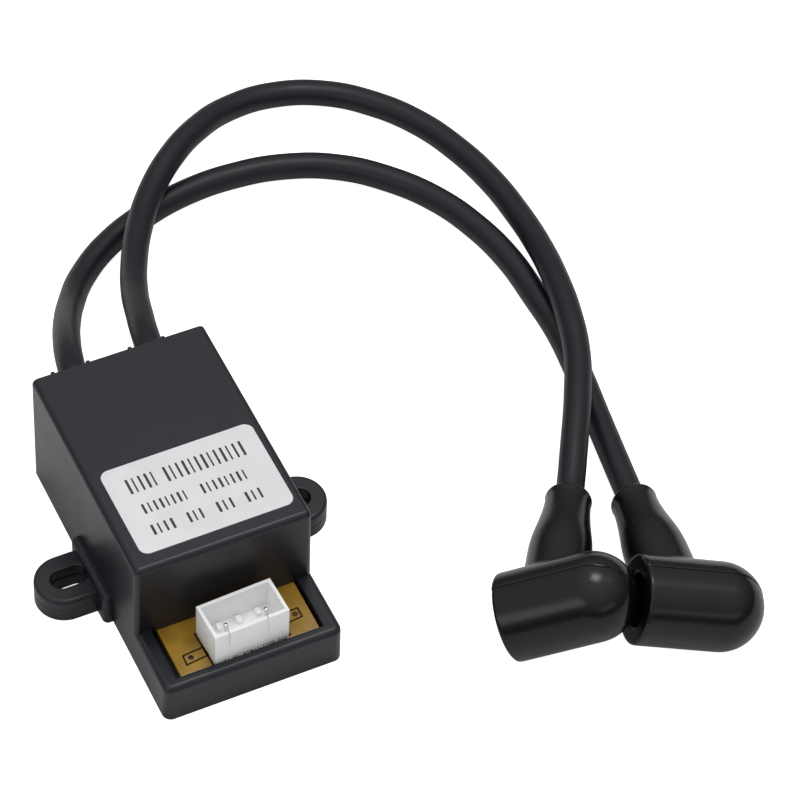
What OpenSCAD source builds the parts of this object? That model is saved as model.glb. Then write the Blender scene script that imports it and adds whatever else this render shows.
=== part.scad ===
// Ignition transformer: a potted case with two slotted ears, a sunk circuit
// board with a two-pin header at the low end, and two high-voltage leads that
// end in right-angle rubber boots.
// Sizes are millimetres. X runs along the two mounting slots, Y from the header
// towards the lead wall, Z up. The origin is midway between the slots, on the base.

/* [Case] */
// Width of the case without its ears
body_w = 38.5; // [37.5:0.5:44]
// Length of the tall part, step wall to lead wall
body_l = 55; // [54:1:66]
// Height of the tall part
body_h = 30; // [28:0.5:34]
// Length of the low ledge in front of the step wall
ledge_l = 15.5; // [14:0.5:18]
// Height of the low ledge
ledge_h = 10; // [8:0.5:12]
// Distance from the slot line forward to the step wall
slots_to_step = 22; // [20:0.5:24]
// Thickness of the side walls, the step wall, the lead wall and the roof
wall_t = 2.2; // [1.8:0.1:2.4]
// Width of the two side rims around the board well
side_rim = 3.2; // [2.6:0.1:3.6]
// Width of the front rim of the board well
front_rim = 2.6; // [1.6:0.1:2.8]
// Radius of the outer case edges
edge_r = 1.3; // [0.6:0.1:1.8]

/* [Mounting ears] */
// Distance between the middles of the two slots
slot_pitch = 50; // [50:0.5:56]
// Width of a slot
slot_w = 4.6; // [4.2:0.1:5.4]
// Length of a slot from end to end
slot_l = 8; // [6:0.2:8]
// Width of an ear
ear_w = 12.6; // [11.5:0.1:14]
// Thickness of an ear
ear_t = 6; // [4:0.2:7]
// Plastic left between the outer end of a slot and the tip of its ear
ear_tip = 3.5; // [2.6:0.1:4]
// Length of the pad behind each ear, along the side wall
pad_l = 18.3; // [16:0.1:22]
// Distance the pad stands out from the side wall
pad_out = 1.9; // [1:0.1:1.9]
// Height of the pad
pad_h = 7.8; // [7.2:0.1:10]

/* [Board] */
// Mean clearance between the circuit board and a side rim
board_side_gap = 0.7; // [0.4:0.1:1.4]
// Length of the circuit board
board_l = 31.6; // [30:0.1:32]
// Thickness of the circuit board
board_t = 1.6; // [1:0.1:2]
// Depth of the board face below the rims of the well
board_sink = 0.8; // [0.2:0.1:1.4]

/* [Header] */
// Width of the header shell
header_w = 16.5; // [14.5:0.1:18]
// Depth of the header shell, front to back
header_d = 8.9; // [8:0.1:9.4]
// Height of the header shell above the board
header_h = 8.8; // [7:0.1:10]
// Thickness of the header shell walls
header_wall = 0.7; // [0.5:0.05:1]
// Distance between the two pins
pin_pitch = 8.9; // [7:0.1:9.5]
// Width of a square pin
pin_w = 1; // [0.64:0.02:1.1]

/* [Label] */
// Width of the label
label_w = 33.8; // [28:0.1:34]
// Length of the label
label_l = 22.8; // [16:0.1:24]
// Corner radius of the label
label_r = 2; // [0.5:0.1:3]

/* [Leads] */
// Diameter of a high-voltage lead
lead_d = 6; // [5:0.1:6.4]
// Sideways place of the left lead in the lead wall
left_exit_x = -9.7; // [-11:0.1:-9]
// Sideways place of the right lead in the lead wall
right_exit_x = 7.5; // [6:0.1:9]
// Depth of the lead axes below the case top
exit_drop = 5; // [5:0.1:6.5]
// Diameter of the collar around a lead
collar_d = 8; // [7.6:0.1:9]
// Distance a collar stands out from the lead wall
collar_out = 1.8; // [1:0.1:2.5]

/* [Boots] */
// Outer diameter of a boot barrel
boot_d = 18.5; // [16.5:0.5:19]
// Wall thickness of a boot barrel
boot_wall = 3.75; // [2.5:0.05:4]
// Length of a boot barrel from its mouth to the middle of its round end
barrel_l = 18.25; // [17.5:0.25:22]
// Length of a boot neck from the barrel axis to its lip
neck_l = 33; // [30:0.5:37]
// Diameter of a boot neck at its root
neck_root_d = 13; // [11:0.5:14]
// Diameter of a boot neck at its lip
neck_tip_d = 9.2; // [8.5:0.1:10]

/* [Magnetic core and windings] */
// Width of the core loop
core_w = 28; // [26.8:0.1:28]
// Length of the core loop
core_l = 30; // [28:0.1:31]
// Width of a core limb
limb_w = 7; // [6:0.1:7.5]
// Thickness of the core, upright
core_t = 8; // [6:0.1:9]
// Wall thickness of a bobbin
bobbin_t = 1; // [0.6:0.1:1.2]
// Height of a winding above its bobbin tube
winding_t = 1.4; // [1:0.1:1.4]

/* [Hidden] */
$fn = 96;

// case planes
step_y = -slots_to_step;
back_y = step_y + body_l;
front_y = step_y - ledge_l;
roof_z = body_h - wall_t;
through = 1;

// ears
ear_r = ear_w / 2;
ear_end_x = slot_pitch / 2 + slot_l / 2 + ear_tip - ear_r;
ear_edge_r = 0.8;
pad_y = -0.85;
pad_edge_r = 1.2;

// board and potting
well_half = body_w / 2 - side_rim;
board_w = 2 * (well_half - board_side_gap);
board_top = ledge_h - board_sink;
board_under = board_top - board_t;
board_x = 0.3;
board_front_gap = 0.4;
board_front_y = front_y + front_rim + board_front_gap;
fill_drop = 0.5;

// header
header_x = 0.5;
header_in = 7.6;
header_y = front_y + header_in;
header_turn = 2.4;
header_floor = 1.4;
pin_y = -1.35;
pin_above = 7.8;
pin_below = 1.4;
pin_hole_r = 0.8;
solder_r = 1.3;
slit_w = 0.5;
slit_h = 3.6;
key_size = [1.1, 1.6, 1.1];
key_x = [-4.1, 0.3, 4.7];
key_y = 2.4;
bead_r = 0.45;
bead_l = 14;

// label
label_t = 0.2;
label_x = 0.5;
label_in = 15.1;
label_y = step_y + label_in;
label_turn = 0.4;

// lead exits
lead_r = lead_d / 2;
bore_clear = 0.1;
exit_z = body_h - exit_drop;
rib_size = [0.8, 0.6, 13];
rib_x = collar_d / 2;
rib_foot_z = exit_z - rib_size.z + collar_d / 2;
tube_sides = 12;

// boots
boot_r = boot_d / 2;
boot_bore_r = boot_r - boot_wall;
barrel_lip_r = 0.5;
socket_l = 6;
seal_r = boot_bore_r - 0.5;
neck_at = 9.25;
neck_bead_r = 0.6;
neck_bead_out = 0.25;
shoulder_at = 14;
shoulder_l = 16;
// Shift that lets the two arcs of the shoulder cross and not just touch
arc_lap = 0.002;
dome_reach = -0.15;
left_place = [52, -80.45];

// each boot: mouth centre, heading, rise, turn of the neck, lean of the neck
left_heading = -26.4;
left_rise = 26.2;
left_mouth = [left_place.x, back_y + left_place.y, boot_r * cos(left_rise)];
left_boot = [left_mouth, left_heading, left_rise, 78.7, 3.3];
left_dome = left_mouth + barrel_l * heading_vector(left_boot);
right_heading = -18.9;
right_rise = -14.1;
dome_bearing = -16.4;
right_mouth = [
    left_dome.x + (boot_r + dome_reach) * cos(dome_bearing),
    left_dome.y + (boot_r + dome_reach) * sin(dome_bearing),
    boot_r - barrel_l * sin(right_rise)
];
right_boot = [right_mouth, right_heading, right_rise, 77.5, -4.2];

// boot terminals
terminal_r = 2.7;
terminal_bore_r = 1.9;
terminal_before = 3;
terminal_start = neck_at - terminal_before;
terminal_l = 11;
crimp_r = 1.6;

// lead routes: x, y behind the lead wall, height above lying on the table
exit_straight = 0.6;
exit_bend = [1.2, 6.5, -1.1];
cross_gap = 0.4;
cross_over = lead_d + cross_gap;
outer_path = [
    [10.5, 15, 17.5], [14, 26, 12.5], [18.5, 36.5, 9], [24, 47, 7.2],
    [31, 57, cross_over], [39.5, 65.5, cross_over], [49, 72.5, 5.2], [59.5, 78, 2.6],
    [71, 79.5, 0.8], [82.5, 76, 0], [91.5, 68.5, 0], [98.5, 58.5, 0], [103, 47, 0],
    [105.5, 35.5, 0.4], [106, 23, 1.6], [105, 10.5, 3.4], [103, -1, 5.4],
    [100.5, -12, cross_over], [97, -23, cross_over], [91.5, -34, cross_over],
    [85.5, -44.5, 5.6]
];
inner_path = [
    [-5.5, 15, 17.2], [-2, 25, 10.8], [3, 34.5, 4.8], [9.5, 44, 1], [18, 51.5, 0],
    [29, 56.5, 0], [40.5, 59.5, 0], [52.5, 60, 0], [64.5, 58, 0], [75.5, 53, 0],
    [84.5, 45, 0], [91.5, 35.5, 0], [96, 24.5, 0], [98.5, 12.5, 0], [99, 0.5, 0],
    [99, -11.5, 0], [97.5, -23.5, 0], [95.4, -35.5, 0], [93.2, -46.8, 0.9]
];

// core and windings
wall_to_core = 5;
core_drop = 11.5;
core_y = back_y - wall_to_core - core_l / 2;
core_front_y = core_y - core_l / 2;
core_z = body_h - core_drop;
limb_x = (core_w - limb_w) / 2;
bobbin_play = 1;
bobbin_l = core_l - 2 * limb_w - bobbin_play;
flange_over = 0.2;
flange_out = winding_t + flange_over;
coil_sections = 4;
notch_w = 2;

// parts that stand on the board inside the tall part: a row behind the step
// wall and a row in front of the core
near_row_in = 2.8;
near_row_y = step_y + wall_t + near_row_in;
capacitor_size = [16, 6.5, 11];
capacitor_in = [3, 2.75];
capacitor_at = [
    board_x - board_w / 2 + capacitor_in.x + capacitor_size.x / 2,
    core_front_y - capacitor_in.y - capacitor_size.y / 2
];
diode_r = 1.4;
diode_l = 5;
diode_x = -6.5;
resistor_r = 1.2;
resistor_l = 6.5;
resistor_x = 5;
wire_r = 0.4;
wire_reach = 2;
trigger_r = 2.3;
trigger_h = 4.6;
trigger_lift = 2;
trigger_leg_x = 1.27;
trigger_in = [6, 7];
trigger_at = [board_x + board_w / 2 - trigger_in.x, core_front_y - trigger_in.y];

// ---- shared shapes ----

// Rectangle on the origin with four round corners
module round_rect(w, l, r) {
    square([w - 2 * r, l], center = true);
    square([w, l - 2 * r], center = true);
    for (x = [-1, 1], y = [-1, 1])
        translate([x * (w / 2 - r), y * (l / 2 - r)]) circle(r = r);
}

// Rectangle standing on the axis with its two upper corners round
module arch_rect(w, h, r) {
    translate([-w / 2, 0]) square([w, h - r]);
    translate([-w / 2 + r, 0]) square([w - 2 * r, h]);
    for (x = [-1, 1]) translate([x * (w / 2 - r), h - r]) circle(r = r);
}

// Block on the base with round upright edges and round top edges
module soft_block(w, l, h, r) {
    intersection() {
        linear_extrude(h) round_rect(w, l, r);
        rotate([90, 0, 0]) linear_extrude(l, center = true) arch_rect(w, h, r);
        rotate([90, 0, 90]) linear_extrude(w, center = true) arch_rect(l, h, r);
    }
}

// Box centred in X that spans the given Y and Z limits
module span_box(half_w, y, z) {
    translate([-half_w, y[0], z[0]]) cube([2 * half_w, y[1] - y[0], z[1] - z[0]]);
}

// ---- case ----

// One ear on the +X side: a flat arm with a round tip and an eased top edge
module ear_body() {
    arm_x = body_w / 2 - wall_t;
    translate([arm_x, 0, 0]) rotate([90, 0, 90])
        linear_extrude(ear_end_x - arm_x) arch_rect(ear_w, ear_t, ear_edge_r);
    translate([ear_end_x, 0, 0]) rotate_extrude() intersection() {
        arch_rect(ear_w, ear_t, ear_edge_r);
        square([ear_r, ear_t]);
    }
}

module ear_slot() {
    end_x = (slot_l - slot_w) / 2;
    translate([slot_pitch / 2, 0, -through]) linear_extrude(ear_t + 2 * through) {
        square([2 * end_x, slot_w], center = true);
        for (x = [-1, 1]) translate([x * end_x, 0]) circle(d = slot_w);
    }
}

// Collar round a lead with an upright rib on each side
module lead_collar(x) {
    translate([x, back_y + collar_out, exit_z]) rotate([90, 0, 0])
        cylinder(d = collar_d, h = collar_out + wall_t / 2);
    for (side = [-1, 1])
        translate([x + side * rib_x - rib_size.x / 2, back_y - wall_t / 2, rib_foot_z])
            cube([rib_size.x, rib_size.y + wall_t / 2, rib_size.z]);
}

module lead_bore(x) {
    translate([x, back_y + collar_out + through, exit_z]) rotate([90, 0, 0])
        cylinder(r = lead_r + bore_clear, h = collar_out + wall_t + 2 * through);
}

// Hollow of the tall part between two heights
module tall_room(z) {
    span_box(body_w / 2 - wall_t, [step_y + wall_t, back_y - wall_t], z);
}

// Hollow of the ledge between two heights, open into the tall part
module ledge_room(z) {
    span_box(well_half, [front_y + front_rim, step_y + wall_t + through], z);
}

module case() {
    color("#333436") difference() {
        union() {
            translate([0, (back_y + step_y) / 2, 0])
                soft_block(body_w, body_l, body_h, edge_r);
            translate([0, (front_y + step_y + wall_t) / 2, 0])
                soft_block(body_w, ledge_l + wall_t, ledge_h, edge_r);
            for (side = [0, 1]) mirror([side, 0, 0]) ear_body();
            translate([0, pad_y, 0])
                soft_block(body_w + 2 * pad_out, pad_l, pad_h, pad_edge_r);
            for (x = [left_exit_x, right_exit_x]) lead_collar(x);
        }
        tall_room([-through, roof_z]);
        ledge_room([-through, board_top]);
        span_box(well_half, [front_y + front_rim, step_y], [board_under, ledge_h + through]);
        for (side = [0, 1]) mirror([side, 0, 0]) ear_slot();
        for (x = [left_exit_x, right_exit_x]) lead_bore(x);
    }
}

// Resin that fills the case around everything inside it
module potting() {
    color("#202124") difference() {
        union() {
            tall_room([fill_drop, roof_z]);
            ledge_room([fill_drop, board_under]);
        }
        circuit_board_blank();
        header_pins();
        solder_joints();
        cores();
        coils();
        board_parts();
    }
}

// ---- board and header ----

module at_header() {
    translate([header_x, header_y, board_top]) rotate([0, 0, header_turn]) children();
}

module at_pin(side) {
    at_header() translate([side * pin_pitch / 2, pin_y, 0]) children();
}

module circuit_board_blank() {
    translate([board_x - board_w / 2, board_front_y, board_under])
        cube([board_w, board_l, board_t]);
}

module circuit_board() {
    color("#be9646") difference() {
        circuit_board_blank();
        for (side = [-1, 1]) at_pin(side)
            translate([0, 0, -board_t - through])
                cylinder(r = pin_hole_r, h = board_t + 2 * through);
    }
}

module header_shell() {
    inner_w = header_w - 2 * header_wall;
    inner_d = header_d - 2 * header_wall;
    color("#e4e6e4") difference() {
        at_header() {
            difference() {
                translate([-header_w / 2, -header_d / 2, 0])
                    cube([header_w, header_d, header_h]);
                translate([-inner_w / 2, -inner_d / 2, header_floor])
                    cube([inner_w, inner_d, header_h]);
                for (side = [-1, 1])
                    translate([
                        side * pin_pitch / 2 - slit_w / 2,
                        -header_d / 2 - through,
                        header_h - slit_h
                    ])
                        cube([slit_w, header_wall + 2 * through, slit_h + through]);
            }
            for (x = key_x)
                translate([x - key_size.x / 2, key_y - key_size.y / 2, header_floor])
                    cube(key_size);
        }
        header_pins();
    }
}

module header_pin(side) {
    color("#d8d8d4") at_pin(side)
        translate([-pin_w / 2, -pin_w / 2, -board_t - pin_below])
            cube([pin_w, pin_w, board_t + pin_below + pin_above]);
}

module header_pins() {
    for (side = [-1, 1]) header_pin(side);
}

// Solder cone round a pin on the underside of the board
module solder_joint(side) {
    color("#b9bcbe") difference() {
        at_pin(side) translate([0, 0, -board_t - pin_below])
            cylinder(r1 = pin_w, r2 = solder_r, h = pin_below);
        header_pin(side);
    }
}

module solder_joints() {
    for (side = [-1, 1]) solder_joint(side);
}

// Bead of dried flux between the front foot of the header and the front rim
module flux_bead() {
    color("#d9c58c") intersection() {
        at_header() translate([-bead_l / 2, -header_d / 2, 0])
            rotate([0, 90, 0]) cylinder(r = bead_r, h = bead_l);
        at_header() translate([-bead_l / 2, -header_d, 0])
            cube([bead_l, header_d / 2, bead_r]);
        span_box(well_half, [board_front_y, header_y], [board_top, ledge_h]);
    }
}

// ---- label ----

module label() {
    color("#e9e9ea") translate([label_x, label_y, body_h]) rotate([0, 0, label_turn])
        linear_extrude(label_t) round_rect(label_w, label_l, label_r);
}

// ---- core and windings ----

// One U-shaped half of the core, closed towards the given side
module core_half(side) {
    half_l = core_l / 2;
    color("#4a4a4d") translate([0, core_y, core_z]) difference() {
        translate([-core_w / 2, side < 0 ? -half_l : 0, -core_t / 2])
            cube([core_w, half_l, core_t]);
        cube([core_w - 2 * limb_w, core_l - 2 * limb_w, 2 * core_t], center = true);
    }
}

module cores() {
    for (side = [-1, 1]) core_half(side);
}

// Block round one limb, centred on it
module limb_block(side, grow, l) {
    translate([side * limb_x, core_y, core_z])
        cube([limb_w + 2 * grow, l, core_t + 2 * grow], center = true);
}

// Places the flanges that divide a bobbin into a number of sections
module at_flanges(sections) {
    pitch = (bobbin_l - bobbin_t) / sections;
    for (i = [0:sections]) translate([0, (i - sections / 2) * pitch, 0]) children();
}

// Slot across the inner flanges where the wire crosses from section to section
module crossover(side) {
    translate([side * limb_x, core_y, core_z + core_t / 2 + bobbin_t + winding_t / 2])
        cube([notch_w, bobbin_l - 2 * bobbin_t, winding_t], center = true);
}

module bobbin(side, sections) {
    color("#c9b48a") difference() {
        union() {
            limb_block(side, bobbin_t, bobbin_l);
            at_flanges(sections) limb_block(side, bobbin_t + flange_out, bobbin_t);
        }
        crossover(side);
        limb_block(side, 0, bobbin_l + through);
    }
}

module winding(side, sections) {
    color("#9a5a2c") {
        difference() {
            limb_block(side, bobbin_t + winding_t, bobbin_l - 2 * bobbin_t);
            limb_block(side, bobbin_t, bobbin_l);
            at_flanges(sections) limb_block(side, bobbin_t + flange_out, bobbin_t);
        }
        crossover(side);
    }
}

module coils() {
    bobbin(-1, 1);
    winding(-1, 1);
    bobbin(1, coil_sections);
    winding(1, coil_sections);
}

// ---- parts on the board ----

module storage_capacitor() {
    color("#7a3a2a") translate([capacitor_at.x, capacitor_at.y, board_top])
        linear_extrude(capacitor_size.z)
            round_rect(capacitor_size.x, capacitor_size.y, edge_r);
}

// Round body lying along X on two bent wires that stand on the board
module axial_part(x, body_r, body_len) {
    reach = body_len / 2 + wire_reach;
    lift = body_r + wire_r;
    translate([x, near_row_y, board_top + lift]) {
        rotate([0, 90, 0]) cylinder(r = body_r, h = body_len, center = true);
        rotate([0, 90, 0]) cylinder(r = wire_r, h = 2 * reach, center = true);
        for (side = [-1, 1]) translate([side * reach, 0, 0]) {
            sphere(r = wire_r);
            translate([0, 0, -lift]) cylinder(r = wire_r, h = lift);
        }
    }
}

module rectifier_diode() {
    color("#2a2a2c") axial_part(diode_x, diode_r, diode_l);
}

module bleed_resistor() {
    color("#b9a27a") axial_part(resistor_x, resistor_r, resistor_l);
}

// Small round-backed switching device on two legs
module trigger_device() {
    color("#2c2c2e") translate([trigger_at.x, trigger_at.y, board_top]) {
        translate([0, 0, trigger_lift]) intersection() {
            cylinder(r = trigger_r, h = trigger_h);
            translate([-trigger_r, -trigger_r / 2, 0])
                cube([2 * trigger_r, 2 * trigger_r, trigger_h]);
        }
        for (side = [-1, 1]) translate([side * trigger_leg_x, 0, 0])
            cylinder(r = wire_r, h = trigger_lift);
    }
}

module board_parts() {
    storage_capacitor();
    rectifier_diode();
    bleed_resistor();
    trigger_device();
}

// ---- boots ----

// Unit vector along a barrel, from its mouth towards its round end
function heading_vector(b) =
    [cos(b[2]) * cos(b[1]), cos(b[2]) * sin(b[1]), sin(b[2])];

// Unit vector square to a barrel, on the side its neck stands on
function side_vector(b) =
    cos(b[3]) * [sin(b[2]) * cos(b[1]), sin(b[2]) * sin(b[1]), -cos(b[2])]
    + sin(b[3]) * [-sin(b[1]), cos(b[1]), 0];

// Point on a neck axis at a distance from the barrel axis
function neck_point(b, away) =
    b[0] + neck_at * heading_vector(b)
    + away * (cos(b[4]) * side_vector(b) + sin(b[4]) * heading_vector(b));

// Moves a boot from its own frame (mouth at the origin, barrel up, neck along X)
module at_boot(b) {
    translate(b[0]) rotate([0, 90 - b[2], b[1]]) rotate([0, 0, b[3]]) children();
}

module at_neck(b) {
    translate([0, 0, neck_at]) rotate([0, 90 - b[4], 0]) children();
}

// Half section of a barrel: round lip at the mouth, straight wall, round end
module barrel_section() {
    lip_x = boot_r - barrel_lip_r;
    intersection() {
        union() {
            translate([0, barrel_lip_r]) square([boot_r, barrel_l - barrel_lip_r]);
            square([lip_x, barrel_l]);
            translate([lip_x, barrel_lip_r]) circle(r = barrel_lip_r);
            translate([0, barrel_l]) circle(r = boot_r);
        }
        square([boot_r, barrel_l + boot_r]);
    }
}

// Half section of the neck: a straight root, a shoulder of two arcs that fall
// to the straight tip, and a round bead at the lip
module neck_section() {
    root_r = neck_root_d / 2;
    tip_r = neck_tip_d / 2;
    fall = root_r - tip_r;
    bend_r = (shoulder_l * shoulder_l + fall * fall) / (4 * fall);
    shoulder_end = shoulder_at + shoulder_l;
    bead_x = tip_r + neck_bead_out - neck_bead_r;
    square([root_r, shoulder_at]);
    intersection() {
        translate([root_r - bend_r + arc_lap, shoulder_at]) circle(r = bend_r);
        translate([0, shoulder_at]) square([root_r, shoulder_l]);
    }
    difference() {
        translate([0, shoulder_end - shoulder_l / 2]) square([root_r, shoulder_l / 2]);
        translate([tip_r - arc_lap + bend_r, shoulder_end]) circle(r = bend_r);
    }
    square([tip_r, neck_l - neck_bead_r]);
    square([bead_x, neck_l]);
    translate([bead_x, neck_l - neck_bead_r]) circle(r = neck_bead_r);
}

// Right-angle boot; the boot is open at the mouth and at the neck lip
module boot(b) {
    color("#202326") at_boot(b) difference() {
        union() {
            rotate_extrude() barrel_section();
            at_neck(b) rotate_extrude() neck_section();
        }
        translate([0, 0, -through]) cylinder(r = boot_bore_r, h = socket_l + through);
        cylinder(r = seal_r, h = barrel_l);
        translate([0, 0, barrel_l]) sphere(r = seal_r);
        at_neck(b) cylinder(r = lead_r + bore_clear, h = neck_l + through);
    }
}

// Sleeve for the electrode pin with a crimp stub that meets the lead end
module terminal(b) {
    color("#c8a24c") at_boot(b) difference() {
        union() {
            translate([0, 0, terminal_start]) cylinder(r = terminal_r, h = terminal_l);
            at_neck(b) cylinder(r = crimp_r, h = seal_r);
        }
        translate([0, 0, terminal_start - through])
            cylinder(r = terminal_bore_r, h = terminal_l + 2 * through);
    }
}

// ---- leads ----

// Full centre line of a lead: through the wall, along its path, up the neck
function lead_line(exit_x, path, b) = concat(
    [
        [exit_x, back_y - wall_t, exit_z],
        [exit_x, back_y + collar_out + exit_straight, exit_z],
        [exit_x, back_y, exit_z] + exit_bend
    ],
    [for (p = path) [p.x, back_y + p.y, lead_r + p.z]],
    [neck_point(b, neck_l), neck_point(b, seal_r)]
);

function unit(v) = v / norm(v);

// Direction of a line at point i, from its two neighbours
function line_dir(line, i) =
    unit(line[min(i + 1, len(line) - 1)] - line[max(i - 1, 0)]);

// Round tube swept along a line, one ring of points for each point of the line
module swept_tube(line, r) {
    n = tube_sides;
    last = len(line) - 1;
    points = [
        for (i = [0:last])
            let (
                dir = line_dir(line, i),
                across = unit(cross(dir, [0, 0, 1])),
                over = cross(across, dir)
            )
            for (k = [0:n - 1])
                line[i] + r * (cos(360 * k / n) * across + sin(360 * k / n) * over)
    ];
    sides = [
        for (i = [0:last - 1], k = [0:n - 1])
            let (a = i * n + k, b = i * n + (k + 1) % n)
            for (face = [[a, b, b + n], [a, b + n, a + n]]) face
    ];
    start_cap = [[for (k = [n - 1:-1:0]) k]];
    end_cap = [[for (k = [0:n - 1]) last * n + k]];
    polyhedron(points = points, faces = concat(sides, start_cap, end_cap));
}

module lead_outer() {
    color("#26282a") swept_tube(lead_line(right_exit_x, outer_path, left_boot), lead_r);
}

module lead_inner() {
    color("#26282a") swept_tube(lead_line(left_exit_x, inner_path, right_boot), lead_r);
}

case();
potting();
circuit_board();
header_shell();
header_pin(-1);  // header_pin_left
header_pin(1);  // header_pin_right
solder_joint(-1);  // solder_left
solder_joint(1);  // solder_right
flux_bead();
label();
core_half(-1);  // core_front
core_half(1);  // core_back
bobbin(-1, 1);  // primary_bobbin
winding(-1, 1);  // primary_winding
bobbin(1, coil_sections);  // secondary_bobbin
winding(1, coil_sections);  // secondary_winding
storage_capacitor();
rectifier_diode();
bleed_resistor();
trigger_device();
lead_outer();
lead_inner();
boot(left_boot);  // boot_left
boot(right_boot);  // boot_right
terminal(left_boot);  // terminal_left
terminal(right_boot);  // terminal_right
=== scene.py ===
import math

import bmesh
import bpy
from mathutils import Matrix, Vector, noise


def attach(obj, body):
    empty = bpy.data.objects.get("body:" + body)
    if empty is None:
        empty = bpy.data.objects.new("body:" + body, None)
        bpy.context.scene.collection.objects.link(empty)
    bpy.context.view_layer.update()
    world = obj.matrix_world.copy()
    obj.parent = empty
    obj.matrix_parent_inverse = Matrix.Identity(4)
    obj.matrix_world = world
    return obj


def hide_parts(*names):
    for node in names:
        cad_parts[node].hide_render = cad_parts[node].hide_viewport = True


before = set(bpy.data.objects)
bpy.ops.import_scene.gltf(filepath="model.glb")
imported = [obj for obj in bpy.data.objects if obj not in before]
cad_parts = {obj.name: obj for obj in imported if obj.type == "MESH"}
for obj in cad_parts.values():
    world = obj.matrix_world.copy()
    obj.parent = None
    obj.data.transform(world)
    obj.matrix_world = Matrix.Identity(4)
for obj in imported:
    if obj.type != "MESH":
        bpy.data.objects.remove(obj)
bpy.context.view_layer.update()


# The photograph is a product shot on white, taken with a long lens from in
# front of the header, left of the case and about fifty degrees above it.
bpy.ops.object.camera_add(
    location=(-0.17691, -0.42353, 0.59543),
    rotation=[math.radians(turn) for turn in (40.128, -2.244, -25.430)],
)
camera = bpy.context.object
camera.name = "studio_camera"
camera.data.lens = 162
camera.data.sensor_width = 36
bpy.context.scene.camera = camera
bpy.context.scene.view_settings.view_transform = "Standard"


# The studio is a white tent over a white paper table: bright overhead and dim
# near the horizon, so turned-away edges stay nearly black. Four small softboxes
# draw the soft glints on the rubber.
def srgb(value):
    """The linear colour of an sRGB hex value such as 0x1A2B3C."""
    parts = [(value >> shift & 0xFF) / 255 for shift in (16, 8, 0)]
    return [p / 12.92 if p <= 0.04045 else ((p + 0.055) / 1.055) ** 2.4 for p in parts] + [1]


def add_node(tree, kind, inputs=(), feeds=(), **settings):
    """Adds one node: its inputs take values or other outputs, and feeds links its outputs on."""
    made = tree.nodes.new("ShaderNode" + kind)
    for name, value in settings.items():
        setattr(made, name, value)
    for name, value in dict(inputs).items():
        if isinstance(value, bpy.types.NodeSocket):
            tree.links.new(value, made.inputs[name])
        else:
            made.inputs[name].default_value = value
    for name, socket in dict(feeds).items():
        tree.links.new(made.outputs[name], socket)
    return made


world = bpy.data.worlds.new("studio_tent")
world.use_nodes = True
bpy.context.scene.world = world
tent = world.node_tree
seen = add_node(tent, "LightPath").outputs["Is Camera Ray"]
sight = add_node(tent, "TexCoord").outputs["Generated"]
height = add_node(tent, "SeparateXYZ", {"Vector": sight}).outputs["Z"]
light = add_node(tent, "MapRange", {"Value": height, "To Min": 0.0, "To Max": 1.1})
glow = add_node(
    tent, "Background", {"Color": srgb(0xFFFFFF), "Strength": light.outputs["Result"]}
)
white = add_node(tent, "Background", {"Color": srgb(0xFFFFFF), "Strength": 1.0})
add_node(
    tent, "MixShader", {0: seen, 1: glow.outputs[0], 2: white.outputs[0]},
    {"Shader": tent.nodes["World Output"].inputs["Surface"]},
)

SOFTBOX_AIM, SOFTBOX_FAR = Vector((0.05, -0.02, 0.01)), 0.9
for name, way, size, power in (
    ("softbox_above", (0.17, 0.15, 0.97), (0.28, 0.28), 1.75),
    ("softbox_left", (-0.81, -0.31, 0.50), (0.50, 0.22), 0.55),
    ("softbox_right", (0.58, -0.06, 0.81), (0.22, 0.22), 0.1),
    ("softbox_front", (0.16, -0.93, 0.33), (0.60, 0.07), 0.17),
):
    bpy.ops.object.light_add(type="AREA", location=SOFTBOX_AIM + Vector(way) * SOFTBOX_FAR)
    softbox = bpy.context.object
    softbox.name = name
    softbox.rotation_euler = Vector(way).to_track_quat("Z", "Y").to_euler()
    softbox.data.shape = "RECTANGLE"
    softbox.data.size, softbox.data.size_y = size
    softbox.data.energy = power

# the table lies a hair below the base, so that the two never share a plane
bpy.ops.object.select_all(action="DESELECT")
bpy.ops.mesh.primitive_plane_add(size=6, location=(0, 0, -0.00005))
table = bpy.context.object
table.name = "white_table"
table_white = bpy.data.materials.new("white_table_paper")
table_white.use_nodes = True
paper = table_white.node_tree
seen = add_node(paper, "LightPath").outputs["Is Camera Ray"]
matt = add_node(paper, "BsdfDiffuse", {"Color": srgb(0xE8E8E8)})
glow = add_node(paper, "Emission", {"Color": srgb(0xFFFFFF), "Strength": 0.9})
lit = add_node(paper, "AddShader", {0: matt.outputs[0], 1: glow.outputs[0]})
add_node(
    paper, "MixShader", {0: seen, 1: matt.outputs[0], 2: lit.outputs[0]},
    {"Shader": paper.nodes["Material Output"].inputs["Surface"]},
)
table.data.materials.append(table_white)


# The case is one moulding of black PBT from a spark-eroded mould: a tall part,
# a low ledge with the board well, two slotted ears with pads behind them, and a
# collar with two ribs round each lead. It is open below and filled with resin.
MM = 0.001
HALF_W, DRAFT, FRONT_Y, STEP_Y, BACK_Y = 19.25, 0.012, -37.5, -22, 33
BODY_TOP, LEDGE_TOP, BOARD_TOP = 30, 10, 9.2
EDGE_R, FRONT_CORNER_R, BACK_EDGE_R, RIM_R, CASE_LOW = 1.3, 1.9, 0.5, 0.3, -1.5
WALL, WELL_HALF, WELL_FRONT_Y = 2.2, 16.05, -34.9
EAR_ROOT, EAR_TIP, EAR_HALF, EAR_TOP, EAR_EDGE_R = 16, 32.5, 6.3, 6, 0.9
PARTING_Z, PARTING_HALF, PARTING_DEEP = 3, 0.15, 0.2
SLOT_X, SLOT_HALF_L, SLOT_HALF_W, SLOT_STEP = 25, 4, 2.3, 0.25
PAD_LOW, PAD_HIGH, PAD_R = (-21.5, -10, -2), (21.5, 8.3, 7.8), 1.2
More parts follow.
